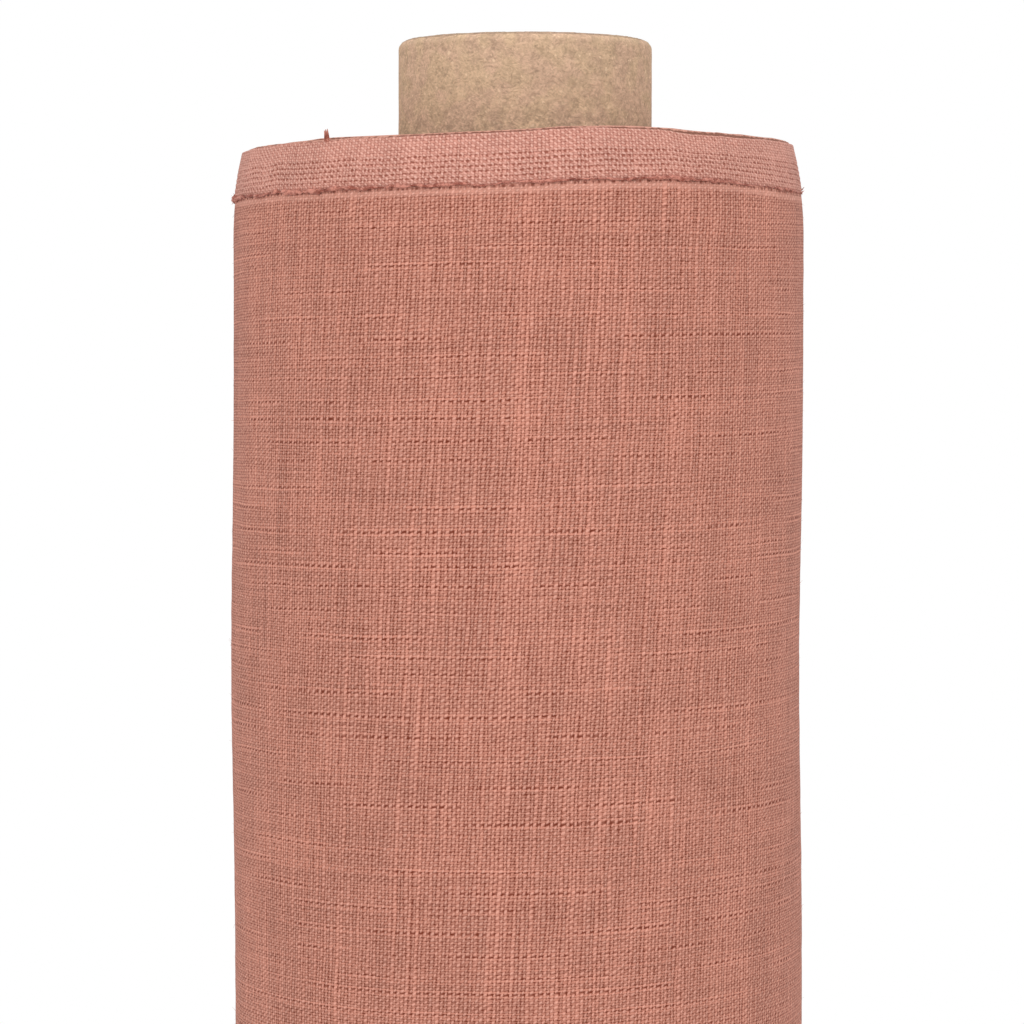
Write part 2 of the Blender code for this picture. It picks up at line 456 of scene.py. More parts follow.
def weave_group() -> bpy.types.NodeTree:
    """Plain weave of slubby yarns, as a group.

    A column yarn's height is its round profile across times a wave along it, which changes sign from
    yarn to yarn; a row yarn's is the same the other way. The higher of the two is the surface, and
    where both are low is a hole. The yarns' twist adds a slanting wave, the cosine of half a turn a
    yarn both ways. Noise along each yarn sways it, thickens it and changes its tone, and here and
    there a thin yarn leaves a row of wide holes between paler yarns. Pitches are in mm.
    """
    inputs = ["Column Pitch", "Row Pitch", "Column Width", "Row Width", "Row Share"]
    inputs += ["Twist", "Wander", "Slub", "Open Rows"]
    bench, given, out = new_group("plain_weave", inputs, ["Height", "Tone"])
    x, y, _ = bench.split(given["Place"])

    def counted(along: Signal, across: Signal, pitch: str, sway: tuple[float, ...]) -> Signal:
        """Yarn count along one direction, with a slow sway and a finer shift that thickens and thins."""
        slow = bench.stretched(along, sway[0], across, sway[1])
        fine = bench.stretched(along, sway[2], across, sway[3], 0.0)
        stray = (slow - 0.5) * sway[4] + (fine - 0.5)
        return stray * given["Wander"] + along / (given[pitch] * MM)

    a = counted(x, y, "Column Pitch", (28.0, 18.0, 900.0, 130.0, 3.0))
    b = counted(y, x, "Row Pitch", (60.0, 14.0, 1000.0, 90.0, 4.0))

    def opening(count: Signal, along: Signal, every: float) -> tuple[Signal, Signal]:
        """Masks of the wide gaps, one in so many yarns, and of the pale yarns on both sides of each."""
        share = count / every
        number = share.by("ROUND")
        away = abs(share - ((bench.dice(number) - 0.5) * 0.5 + number)) * every
        there = bench.ease(bench.stretched(number, 5.7, along, 40.0), 0.37, 0.60)
        gap = bench.ease(away, 0.6, 0.15) * there
        return gap, bench.ease(away, 1.4, 0.8) * (there - gap)

    def yarn(count: Signal, other: Signal, along: Signal, width: str, side: float) -> tuple[Signal, Signal]:
        """A yarn's surface height and its tone."""
        number = count.by("FLOOR")
        off = count.by("FRACT") - 0.5
        slub = bench.stretched(number, 7.31, along, 60.0, 2.0)
        swell = (slub - 0.5) * 4.0 * given["Slub"] + 1.0
        reach = off * 2.0 / (given[width] * swell)
        round_top = (1.0 - reach * reach).by("MAXIMUM", 0.0).by("SQRT")
        odd = abs(number).by("MODULO", 2.0) * (-2.0 * side) + side
        wave = ((off * 0.6 + other) * math.pi).by("SINE")
        return round_top * (odd * wave * 0.4 + 0.6), bench.dice(number) * 0.45 + slub * 0.55

    column, column_tone = yarn(a, b, y, "Column Width", 1.0)
    row, row_tone = yarn(b, a, x, "Row Width", -1.0)
    row_gap, row_side = opening(b, x, 7.5)
    column_gap, column_side = opening(a, y, 5.3)
    row = row * given["Row Share"] * (1.0 - row_gap * given["Open Rows"])
    column = column * (1.0 - column_gap * 0.4 * given["Open Rows"])
    on_top = column.by("GREATER_THAN", row)
    twist = ((a + b) * math.pi).by("COSINE") * given["Twist"]
    uneven = (bench.noise(bench.vector(a, b), 0.9) - 0.5) * 0.4
    sides = (column_side * 0.45 + row_side) * given["Open Rows"]
    bench.feed(out["Height"], column.by("SMOOTH_MAX", row, 0.12) - twist + uneven + sides * 0.12)
    bench.feed(out["Tone"], (column_tone - row_tone) * on_top + row_tone + sides * 0.45)
    return bench.tree


def fleck_group() -> bpy.types.NodeTree:
    """Paper and board speckle, as a group: short curved fibres, pale and dark flecks, a fine tooth.

    Everything lies on the tube's surface: metres round it, up it and out from its axis. Fibres are
    noise stretched along four directions, bent by slower noise, of which the tips are kept.
    """
    outputs = ["Tone", "Pale", "Dark", "Height"]
    bench, given, out = new_group("paper_flecks", ["Scale", "Fibre"], outputs)
    x, y, z = bench.split(given["Place"])
    around = x.by("ARCTAN2", y * -1.0) * TUBE_RADIUS
    reach = (x * x + y * y).by("SQRT")
    wide, tall, deep = (along * given["Scale"] for along in (around, z, reach))
    bend = (bench.stretched(wide, 330.0, tall, 330.0, 0.0) - 0.5) * 0.0012

    def fibres(degrees: float, seed: float) -> Signal:
        """Short thin marks lying mostly one way."""
        c, s = math.cos(math.radians(degrees)), math.sin(math.radians(degrees))
        along, across = wide * c + tall * s, tall * c - wide * s + bend
        place = bench.vector(along * 750.0 + seed, across * 2400.0, deep * 1500.0)
        return bench.ease(bench.noise(place, 1.0, 1.0, flat=False), 0.55, 0.72) * given["Fibre"]

    pale = fibres(12.0, 3.0).by("MAXIMUM", fibres(-48.0, 17.0))
    dark = fibres(62.0, 29.0).by("MAXIMUM", fibres(-14.0, 41.0))
    surface = bench.vector(wide, tall, deep)
    soft = bench.noise(surface, 620.0, 2.0, flat=False)
    tooth = bench.noise(surface, 2300.0, 1.0, flat=False)
    tips = bench.noise(surface, 1050.0, 1.0, flat=False)
    bench.feed(out["Tone"], soft + (tooth - 0.5) * 0.95 + (pale - dark) * 0.30)
    bench.feed(out["Pale"], bench.ease(tips, 0.65, 0.77))
    bench.feed(out["Dark"], bench.ease(tips, 0.36, 0.25))
    bench.feed(out["Height"], (pale - dark) * 0.6 + tooth)
    return bench.tree


def shaded(colour: Colour, factor: float = 1.0) -> tuple[float, float, float, float]:
    """A linear colour made lighter or darker, with alpha."""
    return (*(min(channel * factor, 1.0) for channel in colour), 1.0)


def new_material(
    name: str, roughness: float, sheen: float = 0.0
) -> tuple[bpy.types.Material, Bench, bpy.types.Node]:
    """A material, a bench on it and its shader, whose even values are set on its own sockets."""
    material = bpy.data.materials.new(name)
    material.use_nodes = True
    shader = material.node_tree.nodes["Principled BSDF"]
    shader.inputs["Roughness"].default_value = roughness
    shader.inputs["Specular IOR Level"].default_value = 0.2
    shader.inputs["Sheen Weight"].default_value = sheen
    shader.inputs["Sheen Roughness"].default_value = 0.5
    return material, Bench(material.node_tree), shader


def cloth_place(bench: Bench) -> Socket:
    """The cloth_place attribute."""
    return bench.add("ShaderNodeAttribute", attribute_name=PLACE).outputs["Vector"]


def object_place(bench: Bench) -> Socket:
    """The point's own place on the object, in metres."""
    return bench.add("ShaderNodeTexCoord").outputs["Object"]


def bumped(bench: Bench, shader: bpy.types.Node, height: Value, depth: float, strength: float) -> None:
    """Feeds a height to the shader's normal."""
    bump = bench.add("ShaderNodeBump")
    normal = bench.fed(bump, {"Strength": strength, "Distance": depth, "Height": height})
    bench.feed(shader.inputs["Normal"], normal)


@dataclass(frozen=True)
class LinenFinish:
    """Slubby plain-weave linen with open pinholes, darker between its yarns.

    Args:
        name: the material's name.
        yarn: mean colour of a yarn, linear.
        hole_shade: painted shade, the colour laid in the holes and low places between yarns.
        crown_highlight: painted highlight, the colour laid where a yarn stands highest.
        turn_shade: painted shade just under the plies' edges, where the turns shade each other.
        edge: colour of the edges' own rounded tops.
        column_mm: spacing of the upright yarns.
        row_mm: spacing of the yarns that run round the roll.
        lean: how far the upright yarns lean for each metre up.
        rise: how far the others rise for each metre along.
        pale_from: depth under the edge, in metres, where the smoother band under the thread fades.
        pale_to: depth where it ends.
        thread_shadow_at: depth of the dotted line of holes under the thread, painted dark as the thread's
            shadow.
    """

    name: str = "linen_weave"
    yarn: Colour = (0.490, 0.200, 0.143)
    hole_shade: Colour = (0.170, 0.030, 0.012)
    crown_highlight: Colour = (0.900, 0.490, 0.395)
    turn_shade: Colour = (0.200, 0.085, 0.055)
    edge: Colour = (0.620, 0.310, 0.240)
    column_mm: float = 0.777
    row_mm: float = 0.525
    lean: float = 0.052
    rise: float = 0.014
    pale_from: float = 0.0110
    pale_to: float = 0.0118
    thread_shadow_at: float = 0.01005

    def make(self, weave: bpy.types.NodeTree) -> bpy.types.Material:
        """Builds the material round the weave group."""
        material, bench, shader = new_material(self.name, 0.88, 0.05)
        place = cloth_place(bench)
        run, height, below = bench.split(place)
        yarns = bench.group(
            weave,
            Place=bench.vector(height * self.lean + run, run * self.rise + height),
            Column_Pitch=self.column_mm,
            Row_Pitch=self.row_mm,
            Column_Width=0.88,
            Row_Width=0.92,
            Row_Share=0.72,
            Twist=0.045,
            Slub=0.20,
            Wander=0.6,
            Open_Rows=bench.ease(below, 0.0120, 0.0150) * 0.62,
        )
        high = yarns["Height"]
        band = bench.ease(below, self.pale_to, self.pale_from)
        mottle = bench.noise(place, 75.0, 3.0) - 0.5
        patch = bench.stretched(run, 14.0, height, 5.0, 2.0) - 0.5
        dots = bench.ease(bench.stretched(run, 1100.0, 0.0, 1.0), 0.42, 0.62)
        loops = bench.stretched(run, 800.0, height, 300.0) - 0.5
        tone = yarns["Tone"] + mottle * 0.6 + patch * 0.35
        colour = bench.coats(
            bench.blend(tone, shaded(self.yarn, 0.74), shaded(self.yarn, 1.26)),
            # painted highlight on the yarn crowns; the band under the thread takes a little of it all over
            (band * 0.22 + bench.ease(high, 0.52, 1.10) * 0.48, self.crown_highlight),
            # painted shade in the holes and low places, less in the band under the thread
            (bench.ease(high, 0.10, 0.60, 1.0, 0.0) * (1.0 - band * 0.85), self.hole_shade),
            # painted shadow of the thread: a dark dotted line of holes just under it
            (bench.ease(abs(below - self.thread_shadow_at), 0.00045, 0.0001) * dots * 0.8, self.hole_shade),
            # painted shade on the top 3 mm of each ply, where the turns shade each other
            (bench.ease(below, 0.0030, 0.0006) * 0.85, self.turn_shade),
            (bench.ease(loops * 0.0006 + below, 0.00024, 0.00010), self.edge),
        )
        bench.feed(shader.inputs["Base Color"], colour)
        bumped(bench, shader, bench.noise(place, 4200.0, 1.0) * 0.25 + high, 0.00020, 0.8)
        return material


@dataclass(frozen=True)
class SelvedgeFinish:
    """Denser woven edge: a fine stretch at the top, then ribs of thick yarns with short dips, the dips painted
    dark as shade and the yarn tops painted pale as highlight.

    Args:
        name: the material's name.
        yarn: mean colour, linear.
        hole_shade: painted shade in the dips.
        crown_highlight: painted highlight where a yarn stands highest.
        rib_from: depth under the edge where the ribs start, in metres.
        rib_to: depth where they end.
        rib_mm: spacing of the ribs.
        dash_mm: spacing of the dashes along a rib.
    """

    name: str = "woven_edge"
    yarn: Colour = (0.535, 0.240, 0.186)
    hole_shade: Colour = (0.240, 0.060, 0.035)
    crown_highlight: Colour = (0.900, 0.560, 0.470)
    rib_from: float = 0.0031
    rib_to: float = 0.0086
    rib_mm: float = 1.02
    dash_mm: float = 1.12

    def make(self, weave: bpy.types.NodeTree) -> bpy.types.Material:
        """Builds the material round the weave group."""
        material, bench, shader = new_material(self.name, 0.85, 0.05)
        place = cloth_place(bench)
        run, _, below = bench.split(place)
        fine = bench.group(
            weave,
            Place=bench.vector(run, below),
            Column_Pitch=0.74,
            Row_Pitch=0.50,
            Column_Width=1.0,
            Row_Width=1.05,
            Row_Share=0.8,
            Twist=0.05,
            Slub=0.2,
            Wander=0.4,
            Open_Rows=0.0,
        )
        sway = bench.stretched(run, 160.0, below, 90.0)
        count = (below - self.rib_from) / (self.rib_mm * MM) + (sway - 0.5) * 0.7
        number = count.by("ROUND")
        beat = sway * 2.0 + run / (self.dash_mm * MM)
        off = abs((number * 0.5 + beat).by("FRACT") - 0.5)
        dash = bench.ease(off, 0.42, 0.20) * bench.ease(abs(count - number), 0.36, 0.10)
        zone = bench.ease(below, self.rib_from, 0.0038) * bench.ease(below, self.rib_to, 0.0082)
        patchiness = bench.ease(bench.stretched(run, 300.0, number, 1.0), 0.2, 0.7, 0.35, 1.0)
        high = fine["Height"] + zone * 0.08 - dash * zone * patchiness * 0.55
        tone = (fine["Tone"] - 0.5) * 0.8 + (bench.noise(place, 110.0, 3.0) - 0.5) * 0.9 + 0.5
        colour = bench.coats(
            bench.blend(tone, shaded(self.yarn, 0.80), shaded(self.yarn, 1.20)),
            # painted highlight on the highest yarns
            (bench.ease(high, 0.55, 1.1) * 0.55, self.crown_highlight),
            # painted shade in the dips and dashes
            (bench.ease(high, 0.15, 0.62, 0.85, 0.0), self.hole_shade),
        )
        bench.feed(shader.inputs["Base Color"], colour)
        bumped(bench, shader, high, 0.00018, 0.7)
        return material


@dataclass(frozen=True)
class ThreadFinish:
    """Soft slubby thread, with fine twist lines and a tone that changes along it.

    Args:
        name: the material's name.
        dark: its darkest colour, linear.
        pale: its palest.
    """

    name: str = "edge_thread"
    dark: Colour = (0.25, 0.065, 0.042)
    pale: Colour = (0.60, 0.25, 0.19)

    def make(self) -> bpy.types.Material:
        """Builds the material."""
        material, bench, shader = new_material(self.name, 0.9, 0.15)
        place = object_place(bench)
        lump = bench.noise(place, 700.0, 2.0, flat=False)
        fine = bench.noise(place, 5200.0, 1.0, flat=False)
        tone = bench.ease(fine * 0.35 + lump * 0.65, 0.40, 0.62)
        bench.feed(shader.inputs["Base Color"], bench.blend(tone, shaded(self.dark), shaded(self.pale)))
        bumped(bench, shader, fine, 0.0001, 0.6)
        return material


class PaperKind(Enum):
    """The papers and boards of the core: (name, mean colour, fleck scale, fibre share, roughness)."""

    KRAFT = ("core_kraft", (0.577, 0.399, 0.269), 1.0, 0.8, 0.82)
    BOARD = ("core_fibreboard", (0.430, 0.300, 0.210), 1.2, 1.0, 0.92)
    TAPE = ("start_tape", (0.750, 0.680, 0.520), 0.8, 0.35, 0.6)


@dataclass(frozen=True)
class PaperFinish:
    """Speckled paper or board: soft clouds, short fibres, pale and golden flecks and dark specks, with painted
    shade just above the cloth.

    Args:
        kind: which paper.
        contact_shade_from: height up to which the painted shade of the cloth is full.
        contact_shade_to: height where the painted shade has faded out.
    """

    kind: PaperKind
    contact_shade_from: float = 0.699
    contact_shade_to: float = 0.709

    def make(self, flecks: bpy.types.NodeTree) -> bpy.types.Material:
        """Builds the material round the fleck group."""
        name, colour, scale, fibre, roughness = self.kind.value
        material, bench, shader = new_material(name, roughness)
        place = object_place(bench)
        found = bench.group(flecks, Place=place, Scale=scale, Fibre=fibre)
        cloud = bench.noise(place, 120.0, 3.0, flat=False)
        tone = (cloud - 0.5) * 0.5 + (found["Tone"] - 0.5) * 1.45 + 0.5
        patches = bench.ease(bench.noise(place, 210.0, 2.0, flat=False), 0.38, 0.62)
        hue = bench.blend(patches, (1.0, 1.012, 0.975, 1.0), (1.012, 0.985, 1.01, 1.0))
        pale = bench.blend(cloud, shaded(colour, 1.5), shaded((0.88, 0.68, 0.45)))
        # painted shade on the core just above the top of the cloth, made patchy by the clouds
        contact_shade = bench.ease(bench.split(place)[2], self.contact_shade_to, self.contact_shade_from)
        patchiness = (cloud - found["Tone"]) * 0.9 + 0.42
        base = bench.blend(tone, shaded(colour, 0.78), shaded(colour, 1.22))
        base = bench.blend(1.0, base, hue, "MULTIPLY")
        base = bench.blend(found["Pale"] * 0.65, base, pale)
        base = bench.blend(found["Dark"] * 0.45, base, shaded(colour, 0.50))
        # lays the painted shade above the cloth, darkening the paper to about half
        base = bench.blend(contact_shade * patchiness, base, shaded(colour, 0.52))
        bench.feed(shader.inputs["Base Color"], base)
        bumped(bench, shader, found["Height"], 0.00008, 0.5)
        return material


# ------------------------------------------------------------------ the cloth's winding


@dataclass(frozen=True)
class Winding:
    """The doubled cloth's spiral, measured in degrees unwound from its free end.

    Args:
        roll_radius: outside radius at the free end.
        bore_radius: radius of the first turn on the core.
        lap: how far the radius falls in one turn.
        ply: thickness of one ply.
        ply_gap: gap between the two plies.
        end_azimuth: where the free end lies, in degrees about +Z.
        drift: how far the winding's middle strays towards -X at the outside.
        height: from the fold to the woven edges.
        lean_height: stretch under the edge that leans in towards the core.
        lean_in: how far the outermost edge leans in.
        edge_width: width of the denser woven edge.
        edge_slope: how much lower the woven edges lie at -X than at +X.
        edge_rise: how far they rise again in front.
        edge_rise_at: azimuth of that rise, in degrees.
        foot_rise: how far the foot of the woven edge alone rises.
        foot_rise_at: azimuth of the foot's rise.
        rise_width: degrees to either side at which a rise has fallen to about a third.
        ragged_from: degrees unwound beyond which the edges differ more from one another.
        pressed: how far the outermost turn lies inside its even radius.
        bow: how far it swells out at -X, and in at +X, some way under the top.
        bow_below: how far under the top.
        bow_reach: height above and below at which the swell has fallen to about a third.
    """

    roll_radius: float = 0.0575
    bore_radius: float = 0.0255
    lap: float = 0.0011
    ply: float = 0.00046
    ply_gap: float = 0.00006
    end_azimuth: float = 120.0
    drift: float = 0.0016
    height: float = 0.700
    lean_height: float = 0.018
    lean_in: float = 0.0024
    edge_width: float = 0.0096
    edge_slope: float = 0.0015
    edge_rise: float = 0.0011
    edge_rise_at: float = -70.0
    foot_rise: float = 0.0011
    foot_rise_at: float = -50.0
    rise_width: float = 18.0
    ragged_from: float = 470.0
    pressed: float = 0.0005
    bow: float = 0.0007
    bow_below: float = 0.103
    bow_reach: float = 0.034

    @property
    def doubled(self) -> float:
        """Thickness of both plies."""
        return 2 * self.ply + self.ply_gap

    @property
    def total(self) -> float:
        """Degrees from the free end to the core."""
        return FULL_TURN * (self.roll_radius - self.bore_radius) / self.lap

    def radius(self, unwound: np.ndarray) -> np.ndarray:
        """Outer radius: it falls by one lap a turn."""
        return self.roll_radius - self.lap * unwound / FULL_TURN

    def run(self, unwound: np.ndarray | float) -> np.ndarray:
        """Metres of cloth back from the free end: the radius summed over the angle."""
        turn = np.radians(unwound)
        return self.roll_radius * turn - self.lap * turn**2 / (4 * math.pi)

    def relief(self, azimuth: np.ndarray, z: np.ndarray) -> np.ndarray:
        """How far the wound cloth stands out at an azimuth and height: long upright swells, which
        every turn repeats, and small lumps."""
        share = azimuth / FULL_TURN
        swell = 0.24 * SWELLS.at(share * SWELLS.cells, z / 0.26)
        ripple = 0.11 * RIPPLES.at(share * RIPPLES.cells, z / 0.11)
        lumps = 0.040 * LUMPS.at(share * LUMPS.cells, z / 0.0032)
        specks = 0.028 * SPECKS.at(share * SPECKS.cells, z / 0.0011)
        return (swell + ripple + lumps + specks) * MM

    def place(self, unwound: np.ndarray, depth: np.ndarray, z: np.ndarray) -> np.ndarray:
        """Points at these unwound angles, depths under the outside and heights.

        The radius is the spiral's less the depth, plus a share of these: the relief, less the
        pressing, less a lean that grows with the square of the way up its stretch, less the bow times
        the cosine of the azimuth and a bell over the height. The share grows from the core outwards.

        Args:
            unwound: degrees from the free end.
            depth: how far under the outside.
            z: height.

        Returns:
            An array with one more axis, of x, y and z.
        """
        unwound, depth, z = np.broadcast_arrays(unwound, depth, z)
        radius = self.radius(unwound) - depth
        share = (radius - self.bore_radius) / (self.roll_radius - self.bore_radius)
        azimuth = self.end_azimuth - unwound
        past = np.clip((z - (self.height - self.lean_height)) / self.lean_height, 0.0, 1.1)
        turn = np.radians(azimuth)
        bell = np.exp(-(((z - self.height + self.bow_below) / self.bow_reach) ** 2))
        moved = self.relief(azimuth, z) - self.pressed - self.lean_in * past**2
        reach = radius + share * (moved - self.bow * np.cos(turn) * bell)
        return np.stack([reach * np.cos(turn) - self.drift * share, reach * np.sin(turn), z], axis=-1)

    def near(self, unwound: np.ndarray, azimuth: float) -> np.ndarray:
        """A bell over the unwound angles that lie near an azimuth, one at it on every turn."""
        aside = (self.end_azimuth - unwound - azimuth + FULL_TURN / 2) % FULL_TURN - FULL_TURN / 2
        return np.exp(-((aside / self.rise_width) ** 2))

    def edge_lift(self, unwound: np.ndarray, inner: float = 0.0) -> np.ndarray:
        """How far the woven edge stands above its even height, in metres.

        Noise along the cloth, in mm, slow and quick; a slope that follows the cosine of the azimuth;
        and the rise in front.

        Args:
            unwound: degrees from the free end.
            inner: 0 on the outer ply, 1 on a ply under it, which stands a little higher.

        Returns:
            One lift for each angle.
        """
        run = self.run(unwound)
        ragged = smooth((unwound - self.ragged_from) / FULL_TURN)
        slow = (0.25 + 0.38 * ragged) * EDGES.at(run / 0.055, 7.7 * inner)
        quick = 0.16 * EDGES.at(run / 0.0075, 3.1 + 5.3 * inner) + 0.08 * EDGES.at(run / 0.0013, 9.4)
        higher = inner * (0.3 + 0.5 * EDGES.at(run / 0.09, 20.5))
        slope = -self.edge_slope / 2 * (1 - np.cos(np.radians(self.end_azimuth - unwound)))
        slope = slope + self.edge_rise * self.near(unwound, self.edge_rise_at)
        return (slow + quick - 0.2 + higher) * MM + slope

    def lifted(self, unwound: np.ndarray, z: np.ndarray, inner: np.ndarray | float = 0.0) -> np.ndarray:
        """Heights carried up with the woven edge: all of its lift at the top, none 30 mm below, and
        all of the foot's own rise at its foot, none at the top or 20 mm below."""
        share = smooth((z - (self.height - 0.030)) / 0.030)
        foot = smooth((z - (self.height - 0.020)) / 0.009) * smooth((self.height - z) / 0.0085)
        rise = foot * self.foot_rise * self.near(unwound, self.foot_rise_at)
        return z + share * self.edge_lift(unwound, inner) + rise


SWELLS = Grain(11, 17)
RIPPLES = Grain(12, 41)
LUMPS = Grain(13, 128)
SPECKS = Grain(14, 330)
EDGES = Grain(15, 512)


@dataclass(frozen=True)
class Profile:
    """The doubled cloth's section, a closed loop of rows from the fold up the outer side and round.

    Args:
        depth: each row's depth under the outside.
        z: each row's even height.
        inner: 0 for a row of the outer ply, 1 for one of the under ply.
        shown: how many rows, from the first, lie on the outer side.
    """

    depth: np.ndarray
    z: np.ndarray
    inner: np.ndarray
    shown: int


def doubled_profile(winding: Winding, shown: np.ndarray, outer_top: float) -> Profile:
    """Section of the doubled cloth: two plies with rounded tops, joined by a round fold at the foot.

    Its sides are the outer ply's shown side, its top and hidden side, the gap's foot, the under ply's
    hidden side, its top and inner side, and the fold. The plain sides have rows only where the cloth
    bends: on a stretch that shows, also over the height of the bow.

    Args:
        winding: the spiral it follows.
        shown: heights on the outer side, from the fold to outer_top.
        outer_top: where the outer ply ends; the under ply always reaches the top.

    Returns:
        The section's rows.
    """
    ply, gap, doubled = winding.ply, winding.ply_gap, winding.doubled
    mid, top, lip = doubled / 2, winding.height, 0.4 * winding.ply
    bowed = [top - below for below in (0.170, 0.140, 0.120, 0.103, 0.086, 0.066, 0.045) if outer_top < top]
    ends = [top - below for below in (0.030, 0.018, 0.012, 0.006, 0.002, lip)]
    under = np.array([0.003, 0.2, 0.5] + bowed + ends)
    hidden = np.append(under[under < outer_top - 0.001], outer_top - lip)
    fold = np.linspace(0, math.pi, 7)[1:-1]
    shown = np.append(shown[:-1], outer_top - lip)
    parts = [
        (np.zeros(len(shown)), shown, 0.0),
        (np.array([0.3, 0.7]) * ply, np.full(2, outer_top), 0.0),
        (np.full(len(hidden), ply), hidden[::-1], 0.0),
        (np.array([ply + gap / 2]), np.array([ply + gap]), 0.5),
        (np.full(len(under), ply + gap), under, 1.0),
        (np.array([0.3, 0.7]) * ply + ply + gap, np.full(2, top), 1.0),
        (np.full(len(under), doubled), under[::-1], 1.0),
        (mid + mid * np.cos(fold), mid - mid * np.sin(fold), 0.5),
    ]
    return Profile(
        depth=np.concatenate([p[0] for p in parts]),
        z=np.concatenate([p[1] for p in parts]),
        inner=np.concatenate([np.full(len(p[0]), p[2]) for p in parts]),
        shown=len(shown),
    )


def wound_shell(winding: Winding, unwound: np.ndarray, profile: Profile, strips: int = 0) -> Shell:
    """A stretch of doubled cloth: its section carried round the spiral, its two ends closed.

    Args:
        winding: the spiral.
        unwound: the columns' unwound angles.
        profile: the section.
        strips: strips that its outer side is laid out in on the bake map, or 0 for no map.

    Returns:
        The stretch, with the rows' even depth under the top in its place attribute.
    """
    u = unwound[:, None]
    z = winding.lifted(u, profile.z[None], profile.inner[None])
    points = winding.place(u, profile.depth[None], z)
    place = np.stack(np.broadcast_arrays(winding.run(u), z, winding.height - profile.z), axis=-1)
    layout = bake_layout(*z.shape, profile, strips) if strips else None
    return capped(points, place, layout=layout)


def bake_layout(columns: int, rows: int, profile: Profile, strips: int) -> np.ndarray:
    """Bake map of a wound stretch: its tall outer side cut into strips that stand side by side.

    The other sides share one narrow column at the right, and the closed ends a sliver beyond it.

    Args:
        columns: the stretch's columns.
        rows: points in a column.
        profile: its section.
        strips: how many strips.

    Returns:
        One place on the map for each face corner.
    """
    edge, rest = 0.004, 0.09
    i = np.repeat(np.arange(columns - 1), rows)
    j = np.tile(np.arange(rows), columns - 1)
    across = np.stack([i, i + 1, i + 1, i], axis=1) / (columns - 1)
    up = np.stack([j, j, j + 1, j + 1], axis=1)
    shown = profile.shown - 1
    strip = np.minimum(j * strips // shown, strips - 1)[:, None]
    first = np.ceil(strip * shown / strips)
    last = np.ceil((strip + 1) * shown / strips)
    wide = (1 - rest) / strips
    face_u = (strip + edge * strips + (1 - 2 * edge * strips) * across) * wide
    face_v = edge + (1 - 2 * edge) * (up - first) / (last - first)
    other_u = 1 - rest + 0.01 + (rest - 0.03) * across
    other_v = edge + (1 - 2 * edge) * (up - shown) / (rows - shown)
    on_face = (j < shown)[:, None]
    quads = np.stack([np.where(on_face, face_u, other_u), np.where(on_face, face_v, other_v)], axis=-1)
    depth, z = profile.depth, profile.z
    cap = np.stack([0.985 + 0.01 * depth / depth.max(), edge + (1 - 2 * edge) * z / z.max()], axis=-1)
    return np.concatenate([quads.reshape(-1, 2), cap[::-1], cap])


ROLL_SPANS = 8


@dataclass(frozen=True)
class Span:
    """A stretch of the last turns: its name, its unwound angles and the body it follows, or the two bodies
    whose peel line it lies across.
    """

    name: str
    first: float
    last: float
    bodies: tuple[str, ...] = ("roll",)

    def columns(self, winding: Winding, step: float) -> np.ndarray:
        """Unwound angles no more than this many metres of cloth apart."""
        return stepped(self.first, self.last, math.degrees(step / winding.roll_radius))


@dataclass
class OuterTurns:
    """The turns that show: the last one, the one under the free end, and the free end that peels.

    Args:
        winding: the spiral.
        peel: unwound angle of each peel line, from the roll to the free end.
        row_step: height of a face where the roll is seen close to.
        low_step: height of a face further down.
        column_step: width of a face.
        near: length below the edge with the smaller faces.
        middle: height at which the ends of a bend are given.
    """

    winding: Winding
    peel: list[float]
    row_step: float = 0.0011
    low_step: float = 0.0030
    column_step: float = 0.0011
    # middle: height at which follow works out the ends of a stretch across a peel line, which it does not use.
    near: float = 0.180
    middle: float = 0.35

    def spans(self) -> list[Span]:
        """The stretches: eight on the roll, one across each peel line, and the free end."""
        half = (self.peel[0] - self.peel[1]) / 2
        start = self.peel[0] + half
        cuts = np.linspace(start, FULL_TURN + self.peel[0] + half, ROLL_SPANS + 1)
        found = [Span(f"turn_{k + 1}", a, b) for k, (a, b) in enumerate(zip(cuts, cuts[1:]))]
        for k, line in enumerate(self.peel):
            pair = ("roll" if k == 0 else f"tail_{k}", f"tail_{k + 1}")
            found.append(Span(f"peel_{k + 1}", line - half, line + half, pair))
        found.append(Span("free_end", 0.0, half, (f"tail_{len(self.peel)}",)))
        return found

    def heights(self) -> np.ndarray:
        """Rows of the outer side, from the fold to the foot of the woven edge."""
        top = self.winding.height - self.winding.edge_width
        low = stepped(self.winding.doubled / 2, self.winding.height - self.near, self.low_step)
        return np.append(low[:-1], stepped(self.winding.height - self.near, top, self.row_step))

    def follow(self, obj: bpy.types.Object, span: Span) -> None:
        """Ties a piece to its body; a piece that lies across a peel line is left where it is, tied to no body
        and not bent.
        """
        if len(span.bodies) == 1:
            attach(obj, span.bodies[0])
            return
        start, end = (tuple(self.winding.place(u, 0.0, self.middle)) for u in (span.last, span.first))
        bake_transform(obj)

    def build(self, finish: bpy.types.Material) -> list[bpy.types.Object]:
        """Builds the cloth of every stretch."""
        heights = self.heights()
        profile = doubled_profile(self.winding, heights, heights[-1])
        made = []
        for span in self.spans():
            columns = span.columns(self.winding, self.column_step)
            shell = wound_shell(self.winding, columns, profile, strips=4)
            obj = make_piece(f"cloth_{span.name}", [shell], [finish])
            self.follow(obj, span)
            made.append(obj)
        return made


